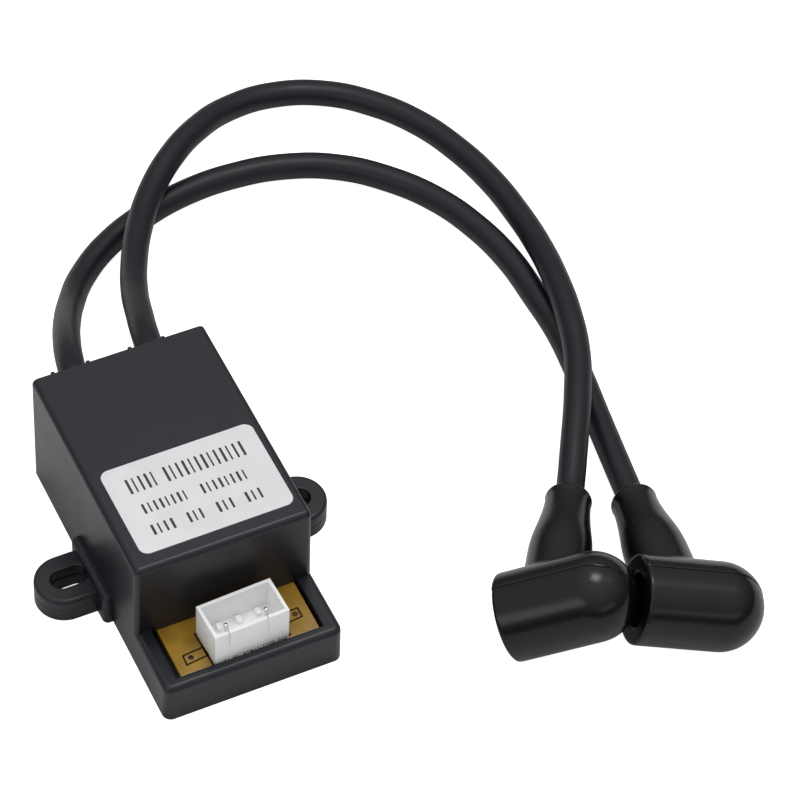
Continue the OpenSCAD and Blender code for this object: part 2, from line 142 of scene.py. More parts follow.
LEAD_X = {"left": -9.3, "right": 7.9}
LEAD_Z, LEAD_R, LEAD_GAP = 25, 3, 0.1
COLLAR_R, COLLAR_OUT, COLLAR_EDGE_R = 3.5, 1.3, 0.25
RIBS_X, RIB_HALF, RIB_OUT, RIB_EDGE_R, RIB_Z = (-14.4, -6.6, 2.75, 10.2), 0.4, 0.9, 0.2, (16, 29.3)


def name_piece(name):
    """Names the object that was just added, and puts its place into its mesh."""
    piece = bpy.context.object
    piece.name = piece.data.name = name
    bpy.ops.object.transform_apply(location=True, rotation=True, scale=True)
    return piece


def add_block(name, low, high):
    """A block between two corners in millimetres."""
    low, high = Vector(low), Vector(high)
    bpy.ops.object.select_all(action="DESELECT")
    bpy.ops.mesh.primitive_cube_add(size=1, location=(low + high) / 2 * MM)
    bpy.context.object.scale = (high - low) * MM
    return name_piece(name)


def add_rod(name, start, direction, radius, length, sides=64):
    """A round rod from a start point along a direction, in millimetres."""
    direction = Vector(direction).normalized()
    bpy.ops.object.select_all(action="DESELECT")
    bpy.ops.mesh.primitive_cylinder_add(
        vertices=sides, radius=radius * MM, depth=length * MM,
        location=(Vector(start) + direction * length / 2) * MM,
        rotation=direction.to_track_quat("Z", "Y").to_euler(),
    )
    return name_piece(name)


def select_parts(piece, kind, wanted):
    """Opens a piece in edit mode with only the edges or faces picked that pass the test."""
    bpy.ops.object.select_all(action="DESELECT")
    bpy.context.view_layer.objects.active = piece
    piece.select_set(True)
    bpy.ops.object.mode_set(mode="EDIT")
    bpy.ops.mesh.select_mode(type=kind)
    bpy.ops.mesh.select_all(action="DESELECT")
    mesh = bmesh.from_edit_mesh(piece.data)
    if kind == "EDGE":
        for edge in mesh.edges:
            a, b = (corner.co / MM for corner in edge.verts)
            edge.select_set(bool(wanted((a + b) / 2, (b - a).normalized())))
    else:
        for face in mesh.faces:
            face.select_set(bool(wanted(face.calc_center_median() / MM, face.normal)))
    bmesh.update_edit_mesh(piece.data)


def round_edges(piece, radius, segments, wanted):
    """Rounds the edges that pass the test, by their middle and their direction."""
    select_parts(piece, "EDGE", wanted)
    bpy.ops.mesh.bevel(offset=radius * MM, segments=segments, profile=0.5, affect="EDGES")
    bpy.ops.object.mode_set(mode="OBJECT")


def apply_modifier(piece, kind, **settings):
    """Adds a modifier with its settings and applies it."""
    made = piece.modifiers.new(kind.lower(), kind)
    for name, value in settings.items():
        setattr(made, name, value)
    bpy.ops.object.select_all(action="DESELECT")
    bpy.context.view_layer.objects.active = piece
    piece.select_set(True)
    bpy.ops.object.modifier_apply(modifier=made.name)


def join_on(piece, part):
    """Welds a part onto a piece."""
    apply_modifier(piece, "BOOLEAN", operation="UNION", solver="EXACT", object=part)
    bpy.data.objects.remove(part)


def cut_out(piece, tool):
    """Cuts a tool's shape out of a piece."""
    apply_modifier(piece, "BOOLEAN", operation="DIFFERENCE", solver="EXACT", object=tool)
    bpy.data.objects.remove(tool)


def copy_piece(piece, name, move=(0, 0, 0)):
    """A copy of a piece with its own mesh, moved by millimetres."""
    twin = piece.copy()
    twin.data = piece.data.copy()
    twin.name = twin.data.name = name
    twin.data.transform(Matrix.Translation(Vector(move) * MM))
    bpy.context.scene.collection.objects.link(twin)
    return twin


def smooth_piece(piece, angle=32):
    """Shades the round edges smooth and keeps the broad faces flat."""
    bpy.ops.object.select_all(action="DESELECT")
    bpy.context.view_layer.objects.active = piece
    piece.select_set(True)
    bpy.ops.object.shade_smooth_by_angle(angle=math.radians(angle))
    apply_modifier(piece, "WEIGHTED_NORMAL", keep_sharp=True)


def make_material(name, **sockets):
    """A material with its node tree, its shader and its object coordinates."""
    material = bpy.data.materials.new(name)
    material.use_nodes = True
    tree = material.node_tree
    shader = tree.nodes["Principled BSDF"]
    for socket, value in sockets.items():
        shader.inputs[socket.replace("_", " ")].default_value = value
    return material, tree, shader, add_node(tree, "TexCoord").outputs["Object"]


# body, ears and pad reach below the base by different amounts, and are trimmed flat later
case = add_block("moulded_case", (-HALF_W, FRONT_Y, CASE_LOW), (HALF_W, BACK_Y, LEDGE_TOP))
select_parts(case, "FACE", lambda middle, normal: True)
bpy.ops.mesh.bisect(plane_co=(0, STEP_Y * MM, 0), plane_no=(0, 1, 0))
bpy.ops.object.mode_set(mode="OBJECT")
select_parts(case, "FACE", lambda middle, normal: normal.z > 0.9 and middle.y > STEP_Y)
bpy.ops.mesh.extrude_region_move(
    TRANSFORM_OT_translate={"value": (0, 0, (BODY_TOP - LEDGE_TOP) * MM)}
)
bpy.ops.object.mode_set(mode="OBJECT")
# the sides lean out a little towards the base, so that the case leaves its mould
for level in (CASE_LOW, LEDGE_TOP):
    select_parts(case, "EDGE", lambda middle, along: abs(middle.z - level) < 0.01)
    wider = 1 + DRAFT * (BODY_TOP - level) / HALF_W
    bpy.ops.transform.resize(value=(wider, 1, 1), center_override=(0, 0, 0))
    bpy.ops.object.mode_set(mode="OBJECT")
apply_modifier(case, "DECIMATE", decimate_type="DISSOLVE", angle_limit=math.radians(1))


def is_soft_edge(middle, along):
    """Every outer edge but the base, the foot of the step, the back and the front corners."""
    on_base = middle.z < 0
    step_foot = abs(middle.y - STEP_Y) < 0.1 and abs(middle.z - LEDGE_TOP) < 0.1
    at_back = middle.y > BACK_Y - 0.1
    front_corner = abs(along.z) > 0.9 and middle.y < STEP_Y - 1
    return not on_base and not step_foot and not at_back and not front_corner


round_edges(
    case, FRONT_CORNER_R, 8, lambda middle, along: abs(along.z) > 0.9 and middle.y < STEP_Y - 1
)
round_edges(case, EDGE_R, 6, is_soft_edge)
round_edges(case, BACK_EDGE_R, 3, lambda middle, along: middle.y > BACK_Y - 0.01 and middle.z > 0)

ear = add_block("ear", (EAR_ROOT, -EAR_HALF, -1), (EAR_TIP, EAR_HALF, EAR_TOP))
round_edges(
    ear, EAR_HALF - 0.01, 20,
    lambda middle, along: middle.x > EAR_TIP - 0.1 and abs(along.z) > 0.9,
)
round_edges(
    ear, EAR_EDGE_R, 5,
    lambda middle, along: middle.z > EAR_TOP - 0.1 and middle.x > EAR_ROOT + 0.1,
)
# the two halves of the mould leave a fine groove round the side of each ear
for z in (PARTING_Z - PARTING_HALF, PARTING_Z, PARTING_Z + PARTING_HALF):
    select_parts(ear, "FACE", lambda middle, normal: True)
    bpy.ops.mesh.bisect(plane_co=(0, 0, z * MM), plane_no=(0, 0, 1))
    bpy.ops.object.mode_set(mode="OBJECT")
select_parts(ear, "EDGE", lambda middle, along: abs(middle.z - PARTING_Z) < 0.01)
inner = 1 - PARTING_DEEP / EAR_HALF
bpy.ops.transform.resize(
    value=(inner, inner, 1), center_override=Vector((EAR_TIP - EAR_HALF, 0, PARTING_Z)) * MM
)
bpy.ops.object.mode_set(mode="OBJECT")
# and a small step half way down each slot
for inset, low, high in ((0, PARTING_Z, EAR_TOP + 1), (SLOT_STEP, -2, PARTING_Z + 0.5)):
    half_l, half_w = SLOT_HALF_L - inset, SLOT_HALF_W - inset
    slot = add_block("slot", (SLOT_X - half_l, -half_w, low), (SLOT_X + half_l, half_w, high))
    round_edges(slot, half_w - 0.01, 12, lambda middle, along: abs(along.z) > 0.9)
    cut_out(ear, slot)
round_edges(
    ear, RIM_R, 3,
    lambda middle, along: middle.z > EAR_TOP - 0.05 and abs(middle.y) < SLOT_HALF_W + 0.1
    and abs(middle.x - SLOT_X) < SLOT_HALF_L + 0.1,
)
left_ear = copy_piece(ear, "left_ear")
select_parts(left_ear, "FACE", lambda middle, normal: True)
bpy.ops.transform.mirror(constraint_axis=(True, False, False), center_override=(0, 0, 0))
bpy.ops.mesh.normals_make_consistent(inside=False)
bpy.ops.object.mode_set(mode="OBJECT")
join_on(case, left_ear)
join_on(case, ear)

pad = add_block("pad", PAD_LOW, PAD_HIGH)
round_edges(pad, PAD_R, 6, lambda middle, along: middle.z > 0)
join_on(case, pad)
select_parts(case, "FACE", lambda middle, normal: True)
bpy.ops.mesh.bisect(plane_co=(0, 0, 0), plane_no=(0, 0, 1), use_fill=True, clear_inner=True)
bpy.ops.object.mode_set(mode="OBJECT")

collar = add_rod("collar", (0, BACK_Y - 1, LEAD_Z), (0, 1, 0), COLLAR_R, COLLAR_OUT + 1)
round_edges(
    collar, COLLAR_EDGE_R, 3, lambda middle, along: middle.y > BACK_Y + COLLAR_OUT - 0.1
)
for x in LEAD_X.values():
    join_on(case, copy_piece(collar, "collar_copy", (x, 0, 0)))
rib = add_block(
    "rib", (-RIB_HALF, BACK_Y - 1, RIB_Z[0]), (RIB_HALF, BACK_Y + RIB_OUT, RIB_Z[1])
)
round_edges(rib, RIB_EDGE_R, 2, lambda middle, along: middle.y > BACK_Y)
for x in RIBS_X:
    join_on(case, copy_piece(rib, "rib_copy", (x, 0, 0)))
for pattern in (collar, rib):
    bpy.data.objects.remove(pattern)
for x in LEAD_X.values():
    cut_out(case, add_rod(
        "bore", (x, BACK_Y - WALL - 0.3, LEAD_Z), (0, 1, 0), LEAD_R + LEAD_GAP, 6
    ))

cut_out(case, add_block(
    "well", (-WELL_HALF, WELL_FRONT_Y, 7), (WELL_HALF, STEP_Y, LEDGE_TOP + 1)
))
cut_out(case, add_block(
    "low_room", (-WELL_HALF, WELL_FRONT_Y, -1), (WELL_HALF, STEP_Y + WALL + 1, BOARD_TOP)
))
cut_out(case, add_block(
    "tall_room",
    (WALL - HALF_W, STEP_Y + WALL, -1), (HALF_W - WALL, BACK_Y - WALL, BODY_TOP - WALL),
))
round_edges(
    case, RIM_R, 2,
    lambda middle, along: abs(middle.z - LEDGE_TOP) < 0.01
    and (abs(abs(middle.x) - WELL_HALF) < 0.01 or abs(middle.y - WELL_FRONT_Y) < 0.01),
)
smooth_piece(case)

# PBT from an eroded mould is a deep satin black with a fine even grain, which
# softens its glints; handling leaves it slightly cloudy.
black_pbt, tree, shader, place = make_material(
    "black_pbt_eroded_mould", Base_Color=srgb(0x14151D), IOR=1.44
)
clouds = add_node(tree, "TexNoise", {"Vector": place, "Scale": 1 / (9 * MM), "Detail": 4})
add_node(
    tree, "MapRange", {"Value": clouds.outputs["Fac"], "To Min": 0.30, "To Max": 0.42},
    {"Result": shader.inputs["Roughness"]},
)
# the real grit of about 0.1 mm is drawn at 0.35 mm, so that it shows
grit = add_node(tree, "TexNoise", {"Vector": place, "Scale": 1 / (0.35 * MM), "Detail": 3})
add_node(
    tree, "Bump", {"Height": grit.outputs["Fac"], "Distance": 0.009 * MM},
    {"Normal": shader.inputs["Normal"]},
)
case.data.materials.append(black_pbt)
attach(case, "root")
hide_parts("case")


# The potting is black two-part epoxy poured in from the open base round the
# core, the coils and the board. It cures with a hard, slightly wavy gloss.
def dress_node(name, material):
    """Gives a CAD node a material on its own material slots."""
    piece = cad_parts[name]
    if not piece.material_slots:
        piece.data.materials.append(material)
    for place in piece.material_slots:
        place.material = material


# cast epoxy shines like wet tar, with slow waves where it shrank
epoxy, tree, shader, place = make_material(
    "black_potting_epoxy", Base_Color=srgb(0x161719), IOR=1.55
)
haze = add_node(tree, "TexNoise", {"Vector": place, "Scale": 1 / (6 * MM), "Detail": 3})
add_node(
    tree, "MapRange", {"Value": haze.outputs["Fac"], "To Min": 0.12, "To Max": 0.3},
    {"Result": shader.inputs["Roughness"]},
)
waves = add_node(tree, "TexNoise", {"Vector": place, "Scale": 1 / (7 * MM), "Detail": 1})
add_node(
    tree, "Bump", {"Height": waves.outputs["Fac"], "Distance": 0.12 * MM},
    {"Normal": shader.inputs["Normal"]},
)
dress_node("potting", epoxy)


# The circuit board is a punched paper-phenolic sheet, golden under its clear
# lacquer, with a dark screen print: the header's outline and a test point on
# each side. It is dropped into the well before the resin is poured.
BOARD_LOW, BOARD_HIGH = (-14.9, -34.5, 7.6), (15.45, -2.9, BOARD_TOP)
BOARD_EDGE_R, BOARD_HOLE_R = 0.12, 0.8
PRINT_T, PRINT_W, OUTLINE_GAP = 0.02, 0.4, (0.55, 0.1)
HEADER_AT, HEADER_TURN = (0.5, -29.9), 2.4
HEADER_W, HEADER_D, HEADER_H = 16.5, 8.9, 8.8
PIN_X, PIN_Y = 4.45, -1.35
POINT_DOWN, POINT_UP, POINT_EDGE_R = 0.3, 0.12, 0.1

board = add_block("phenolic_board", BOARD_LOW, BOARD_HIGH)
round_edges(board, BOARD_EDGE_R, 2, lambda middle, along: True)


def place_on_board(*pieces):
    """Turns and moves pieces modelled round the header's middle to its place on the board."""
    for piece in pieces:
        bpy.ops.object.select_all(action="DESELECT")
        bpy.context.view_layer.objects.active = piece
        piece.select_set(True)
        piece.rotation_euler.z = math.radians(HEADER_TURN)
        piece.location = Vector((*HEADER_AT, BOARD_TOP)) * MM
        bpy.ops.object.transform_apply(location=True, rotation=True, scale=True)


for x in (-PIN_X, PIN_X):
    hole = add_rod("hole", (x, PIN_Y, -2), (0, 0, 1), BOARD_HOLE_R, 3, 32)
    place_on_board(hole)
    cut_out(board, hole)
smooth_piece(board)
# paper soaked in phenolic resin is a warm gold, darker where its fibres bunch,
# under a thin clear lacquer that gives it a soft sheen
phenolic, tree, shader, place = make_material(
    "golden_paper_phenolic", Roughness=0.3, IOR=1.55, Coat_Weight=0.25, Coat_Roughness=0.1
)
fibres = add_node(tree, "TexNoise", {"Vector": place, "Scale": 1 / (5 * MM), "Detail": 5})
ramp = add_node(
    tree, "ValToRGB", {"Fac": fibres.outputs["Fac"]}, {"Color": shader.inputs["Base Color"]}
).color_ramp
for stop, (at, colour) in zip(ramp.elements, ((0.3, 0x8A6814), (0.7, 0xA6812A))):
    stop.position, stop.color = at, srgb(colour)
ripples = add_node(tree, "TexNoise", {"Vector": place, "Scale": 1 / (0.6 * MM)})
add_node(
    tree, "Bump", {"Height": ripples.outputs["Fac"], "Distance": 0.01 * MM},
    {"Normal": shader.inputs["Normal"]},
)
board.data.materials.append(phenolic)
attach(board, "root")
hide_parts("circuit_board")


def add_print_frame(name, corners):
    """A printed outline on the board: a thin sheet with its middle taken out."""
    bpy.ops.object.select_all(action="DESELECT")
    bpy.ops.mesh.primitive_plane_add(size=1)
    piece = name_piece(name)
    for corner, place in zip(piece.data.vertices, corners):
        corner.co = Vector((*place, BOARD_TOP + PRINT_T)) * MM
    select_parts(piece, "FACE", lambda middle, normal: True)
    bpy.ops.mesh.inset(thickness=PRINT_W * MM)
    bpy.ops.mesh.delete(type="FACE")
    bpy.ops.object.mode_set(mode="OBJECT")
    apply_modifier(piece, "SOLIDIFY", thickness=PRINT_T * MM, offset=-1)
    return piece


turned = Matrix.Rotation(math.radians(HEADER_TURN), 2)
outline_x, outline_y = HEADER_W / 2 + OUTLINE_GAP[0], HEADER_D / 2 + OUTLINE_GAP[1]
header_outline = add_print_frame("print_header_outline", [
    tuple(turned @ Vector((x * outline_x, y * outline_y)) + Vector(HEADER_AT))
    for x, y in ((-1, -1), (1, -1), (-1, 1), (1, 1))
])
left_frame = add_print_frame(
    "print_left_point", [(-12.95, -32.6), (-7.7, -32.0), (-12.8, -29.8), (-7.9, -29.4)]
)
right_frame = add_print_frame(
    "print_right_point", [(9.6, -31.2), (13.55, -30.8), (9.6, -28.1), (13.6, -28.1)]
)
# screen ink lies matt and nearly black on the lacquer, and a little uneven
print_ink, tree, shader, place = make_material("screen_print_ink", Roughness=0.6, IOR=1.3)
mesh_marks = add_node(tree, "TexNoise", {"Vector": place, "Scale": 1 / (0.5 * MM)})
ramp = add_node(
    tree, "ValToRGB", {"Fac": mesh_marks.outputs["Fac"]}, {"Color": shader.inputs["Base Color"]}
).color_ramp
for stop, (at, colour) in zip(ramp.elements, ((0.35, 0x180C05), (0.65, 0x241308))):
    stop.position, stop.color = at, srgb(colour)
for piece in (header_outline, left_frame, right_frame):
    piece.data.materials.append(print_ink)
    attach(piece, "root")

# each test point is a small eyelet: the left one a dark dome whose colour is painted shade
# standing for its open hole, the right one filled with a drop of dull brown lacquer
eyelet_with_painted_hole_shade, tree, shader, place = make_material(
    "eyelet_painted_hole_shade", Base_Color=srgb(0x1C130C), Roughness=0.25
)
pits = add_node(tree, "TexNoise", {"Vector": place, "Scale": 1 / (0.4 * MM)})
add_node(
    tree, "Bump", {"Height": pits.outputs["Fac"], "Distance": 0.03 * MM},
    {"Normal": shader.inputs["Normal"]},
)
brown_lacquer, tree, shader, place = make_material(
    "brown_lacquer_drop", Base_Color=srgb(0x4E1806), Roughness=0.6
)
wrinkles = add_node(tree, "TexNoise", {"Vector": place, "Scale": 1 / (0.5 * MM)})
add_node(
    tree, "Bump", {"Height": wrinkles.outputs["Fac"], "Distance": 0.02 * MM},
    {"Normal": shader.inputs["Normal"]},
)
for name, spot, radius, finish in (
    # the left point's dark colour is painted shade of an open hole
    ("left_test_point", (-11.25, -31.05), 0.6, eyelet_with_painted_hole_shade),
    ("right_test_point", (12.3, -29.5), 0.62, brown_lacquer),
):
    point = add_rod(
        name, (*spot, BOARD_TOP - POINT_DOWN), (0, 0, 1), radius, POINT_DOWN + POINT_UP, 32
    )
    round_edges(point, POINT_EDGE_R, 3, lambda middle, along: middle.z > BOARD_TOP)
    smooth_piece(point)
    point.data.materials.append(finish)
    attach(point, "root")


# The header is a two-pin shrouded connector moulded in natural white nylon,
# pressed onto the board: thin eased walls, a slit over each pin in the front
# wall, and three keys on the floor.
HEADER_WALL, HEADER_FLOOR, HEADER_EDGE_R, PIN_HALF = 0.7, 1.4, 0.14, 0.5
SLITS_X, SLIT_HALF, SLIT_H = (-5.1, 3.6), 0.18, 5.0
GATE_LOW, GATE_HIGH, GATE_OUT = (-1.4, 3.9), (1.0, 6.1), 0.06
KEYS_X, KEY_HALF, KEY_Y, KEY_H = (-4.1, 0.3, 4.7), (0.55, 0.8), 2.4, 1.1

header = add_block(
    "nylon_header", (-HEADER_W / 2, -HEADER_D / 2, 0), (HEADER_W / 2, HEADER_D / 2, HEADER_H)
)
select_parts(header, "FACE", lambda middle, normal: normal.z > 0.9)
bpy.ops.mesh.inset(thickness=HEADER_WALL * MM)
bpy.ops.mesh.extrude_region_move(
    TRANSFORM_OT_translate={"value": (0, 0, (HEADER_FLOOR - HEADER_H) * MM)}
)
bpy.ops.object.mode_set(mode="OBJECT")
for x in SLITS_X:
    cut_out(header, add_block(
        "slit", (x - SLIT_HALF, -HEADER_D / 2 - 1, HEADER_H - SLIT_H),
        (x + SLIT_HALF, -HEADER_D / 2 + HEADER_WALL + 0.5, HEADER_H + 1),
    ))
# the gate of the mould leaves a low square on the front wall
join_on(header, add_block(
    "gate", (GATE_LOW[0], -HEADER_D / 2 - GATE_OUT, GATE_LOW[1]),
    (GATE_HIGH[0], -HEADER_D / 2 + 0.3, GATE_HIGH[1]),
))
key = add_block(
    "key", (-KEY_HALF[0], KEY_Y - KEY_HALF[1], HEADER_FLOOR - 0.5),
    (KEY_HALF[0], KEY_Y + KEY_HALF[1], HEADER_FLOOR + KEY_H),
)
for x in KEYS_X:
    join_on(header, copy_piece(key, "key_copy", (x, 0, 0)))
bpy.data.objects.remove(key)
for x in (-PIN_X, PIN_X):
    cut_out(header, add_block(
        "pin_hole", (x - PIN_HALF, PIN_Y - PIN_HALF, -1), (x + PIN_HALF, PIN_Y + PIN_HALF, 3)
    ))
apply_modifier(
    header, "BEVEL", width=HEADER_EDGE_R * MM, segments=3, limit_method="ANGLE",
    angle_limit=math.radians(40),
)
smooth_piece(header)
place_on_board(header)
# natural nylon is a milky white that light goes into, so its edges glow softly
nylon, tree, shader, place = make_material(
    "natural_nylon", Base_Color=srgb(0xFBFCFB), IOR=1.53,
    Subsurface_Weight=0.4, Subsurface_Scale=0.0015, Subsurface_Radius=(1, 0.95, 0.85),
)
flow_marks = add_node(tree, "TexNoise", {"Vector": place, "Scale": 1 / (2.5 * MM), "Detail": 3})
add_node(
    tree, "MapRange", {"Value": flow_marks.outputs["Fac"], "To Min": 0.34, "To Max": 0.5},
    {"Result": shader.inputs["Roughness"]},
)
sinks = add_node(tree, "TexNoise", {"Vector": place, "Scale": 1 / (1.2 * MM)})
add_node(
    tree, "Bump", {"Height": sinks.outputs["Fac"], "Distance": 0.012 * MM},
    {"Normal": shader.inputs["Normal"]},
)
header.data.materials.append(nylon)
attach(header, "root")
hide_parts("header_shell")


# The pins are square brass wire, tinned, with a swaged point. They are pushed
# through the header and soldered below the board.
PIN_LOW, PIN_HIGH, PIN_EDGE_R = -3, 7.8, 0.1
PIN_TIP = ((0.22, 0.93), (0.18, 0.82), (0.10, 0.6))  # rise and taper of each step

# tin plate is bright and white, with dull streaks where the wire was drawn
tin, tree, shader, place = make_material(
    "bright_tin_plate", Base_Color=srgb(0xF2F1EE), Metallic=1.0
)
streaks = add_node(tree, "TexNoise", {"Vector": place, "Scale": 1 / (0.8 * MM), "Detail": 3})
add_node(
    tree, "MapRange", {"Value": streaks.outputs["Fac"], "To Min": 0.10, "To Max": 0.26},
    {"Result": shader.inputs["Roughness"]},
)
dents = add_node(tree, "TexNoise", {"Vector": place, "Scale": 1 / (0.5 * MM)})
add_node(
    tree, "Bump", {"Height": dents.outputs["Fac"], "Distance": 0.006 * MM},
    {"Normal": shader.inputs["Normal"]},
)
wire = add_block(
    "pin_wire", (-PIN_HALF, PIN_Y - PIN_HALF, PIN_LOW), (PIN_HALF, PIN_Y + PIN_HALF, PIN_HIGH)
)
round_edges(wire, PIN_EDGE_R, 2, lambda middle, along: abs(along.z) > 0.9)
select_parts(wire, "FACE", lambda middle, normal: normal.z > 0.9)
bpy.ops.transform.translate(value=(0, 0, -sum(rise for rise, taper in PIN_TIP) * MM))
for rise, taper in PIN_TIP:
    bpy.ops.mesh.extrude_region_move(TRANSFORM_OT_translate={"value": (0, 0, rise * MM)})
    bpy.ops.transform.resize(value=(taper, taper, 1))
bpy.ops.object.mode_set(mode="OBJECT")
smooth_piece(wire, 50)
for side, x in (("left", -PIN_X), ("right", PIN_X)):
    pin = copy_piece(wire, "tinned_pin_" + side, (x, 0, 0))
    place_on_board(pin)
    pin.data.materials.append(tin)
    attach(pin, "root")
    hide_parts("header_pin_" + side)
bpy.data.objects.remove(wire)

# hand-soldered tin lead freezes with a satin skin, brighter on its slope
solder, tree, shader, place = make_material(
    "solder_fillet", Base_Color=srgb(0xC9CBCB), Metallic=1.0
)
skin = add_node(tree, "TexNoise", {"Vector": place, "Scale": 1 / (0.6 * MM), "Detail": 3})
add_node(
    tree, "MapRange", {"Value": skin.outputs["Fac"], "To Min": 0.15, "To Max": 0.4},
    {"Result": shader.inputs["Roughness"]},
)
dress_node("solder_left", solder)
dress_node("solder_right", solder)


# The bead is flux that boiled out under the header and dried along its front
# foot: brittle clear resin, dark brown and nearly black, lumpy, with tiny glints that are partly
# real gloss and partly painted highlight in its colour.
BEAD_HALF_L, BEAD_R, BEAD_VOXEL = 7.6, 0.55, 0.09
BEAD_LUMPS = ((1200, 0.30), (3000, 0.16))  # lumps per metre, height in millimetres
bead = add_rod(
    "flux_crust", (-BEAD_HALF_L, -HEADER_D / 2, 0), (1, 0, 0), BEAD_R, 2 * BEAD_HALF_L, 16
)
apply_modifier(bead, "REMESH", mode="VOXEL", voxel_size=BEAD_VOXEL * MM)
for corner in bead.data.vertices:
    lump = sum(noise.noise(corner.co * often) * high for often, high in BEAD_LUMPS)
    corner.co.y += lump * MM
    corner.co.z = max(corner.co.z, 0)
smooth_piece(bead, 60)
place_on_board(bead)
# dried flux is glassy: its white patches are painted highlight, glints painted into the colour
# beside nearly black and brown resin
flux, tree, shader, place = make_material(
    "dried_flux", Roughness=0.08, IOR=1.5, Coat_Weight=0.6, Coat_Roughness=0.04
)
flux_tone_and_painted_glints = add_node(tree, "TexNoise", {"Vector": place, "Scale": 1 / (0.45 * MM), "Detail": 3})
ramp = add_node(
    tree, "ValToRGB", {"Fac": flux_tone_and_painted_glints.outputs["Fac"]}, {"Color": shader.inputs["Base Color"]}
).color_ramp
ramp.elements.new(0.5)
# stops: nearly black, then a painted white highlight, then dark brown
for stop, (at, colour) in zip(
    ramp.elements, ((0.45, 0x0C0A0C), (0.52, 0xFFFEFA), (0.521, 0x3A2E18))
):
    stop.position, stop.color = at, srgb(colour)
bead.data.materials.append(flux)
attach(bead, "root")
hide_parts("flux_bead")


# The label is a white polyester film with round corners, stuck on the case top
# a little askew. It is printed with rows of plain dark fields.
LABEL_AT, LABEL_TURN = (0.5, -6.9), 0.4
LABEL_HALF, LABEL_R, LABEL_EDGE_R, LABEL_T, INK_T = (16.75, 11.4), 2, 0.05, 0.15, 0.03


def place_on_label(piece):
    """Turns and moves a piece modelled round the label's middle to its place on the case."""
    bpy.ops.object.select_all(action="DESELECT")
    bpy.context.view_layer.objects.active = piece
    piece.select_set(True)
    piece.rotation_euler.z = math.radians(LABEL_TURN)
    piece.location = Vector((*LABEL_AT, BODY_TOP)) * MM
    bpy.ops.object.transform_apply(location=True, rotation=True, scale=True)


label = add_block("film_label", (-LABEL_HALF[0], -LABEL_HALF[1], 0), (*LABEL_HALF, LABEL_T))
round_edges(label, LABEL_R, 12, lambda middle, along: abs(along.z) > 0.9)
round_edges(label, LABEL_EDGE_R, 2, lambda middle, along: middle.z > LABEL_T - 0.01)
smooth_piece(label)
place_on_label(label)
# polyester film is an even cool white with a low satin sheen
film, tree, shader, place = make_material("white_polyester_film", Roughness=0.38, IOR=1.5)
shades = add_node(tree, "TexNoise", {"Vector": place, "Scale": 1 / (8 * MM), "Detail": 3})
ramp = add_node(
    tree, "ValToRGB", {"Fac": shades.outputs["Fac"]}, {"Color": shader.inputs["Base Color"]}
).color_ramp
for stop, (at, colour) in zip(ramp.elements, ((0.3, 0xD7D7DA), (0.7, 0xE0E0E3))):
    stop.position, stop.color = at, srgb(colour)
glue_waves = add_node(tree, "TexNoise", {"Vector": place, "Scale": 1 / (4 * MM)})
add_node(
    tree, "Bump", {"Height": glue_waves.outputs["Fac"], "Distance": 0.01 * MM},
    {"Normal": shader.inputs["Normal"]},
)
label.data.materials.append(film)
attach(label, "root")
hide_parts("label")

# rows of fields: middle height on the label, height, and (start, end) of each group
LABEL_ROWS = [
    (5.7, 3.9, [(-12.6, -5.8), (-4.4, 13.6)]),
    (-0.7, 2.6, [(-12.0, -1.8), (0.8, 11.3)]),
    (-6.3, 2.7, [(-12.4, -6.8), (-4.6, -0.6), (1.8, 6.1), (8.1, 12.3)]),
]
FIELD_PITCH, FIELD_SHARES, FIELD_R = 1.35, (0.40, 0.25, 0.33), 0.12
# thermal ink is a dull black that thins out here and there
label_ink, tree, shader, place = make_material("black_label_ink", Roughness=0.5)
ink_grain = add_node(tree, "TexNoise", {"Vector": place, "Scale": 1 / (0.4 * MM)})
ramp = add_node(
    tree, "ValToRGB", {"Fac": ink_grain.outputs["Fac"]}, {"Color": shader.inputs["Base Color"]}
).color_ramp
for stop, (at, colour) in zip(ramp.elements, ((0.35, 0x1C1C20), (0.65, 0x2A2A2E))):
    stop.position, stop.color = at, srgb(colour)
fields = []
for row_y, row_h, groups in LABEL_ROWS:
    for start, end in groups:
        count = round((end - start) / FIELD_PITCH)
        pitch = (end - start) / count
        for index in range(count):
            x = start + index * pitch
            field = add_block(
                "field", (x, row_y - row_h / 2, LABEL_T),
                (x + pitch * FIELD_SHARES[index % 3], row_y + row_h / 2, LABEL_T + INK_T),
            )
            round_edges(field, FIELD_R, 2, lambda middle, along: abs(along.z) > 0.9)
            fields.append(field)
bpy.ops.object.select_all(action="DESELECT")
for field in fields:
    field.select_set(True)
bpy.context.view_layer.objects.active = fields[0]
bpy.ops.object.join()
label_print = fields[0]
label_print.name = label_print.data.name = "label_print"
place_on_label(label_print)
label_print.data.materials.append(label_ink)
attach(label_print, "root")


# Inside the resin sit the transformer and the discharge circuit: a two-part
# ferrite core, a primary and a sectioned secondary on nylon bobbins, and the
# parts on the board. They are hidden, and keep the shapes of the CAD solids.

# ferrite is fired like a pot: dead matt, grey-black and speckled
ferrite, tree, shader, place = make_material("sintered_ferrite", Roughness=0.75)
specks = add_node(tree, "TexNoise", {"Vector": place, "Scale": 1 / (0.5 * MM), "Detail": 4})
ramp = add_node(
    tree, "ValToRGB", {"Fac": specks.outputs["Fac"]}, {"Color": shader.inputs["Base Color"]}
).color_ramp
for stop, (at, colour) in zip(ramp.elements, ((0.3, 0x2C2C30), (0.7, 0x45454B))):
    stop.position, stop.color = at, srgb(colour)
pores = add_node(tree, "TexNoise", {"Vector": place, "Scale": 1 / (0.4 * MM), "Detail": 3})
add_node(
    tree, "Bump", {"Height": pores.outputs["Fac"], "Distance": 0.02 * MM},
    {"Normal": shader.inputs["Normal"]},
)
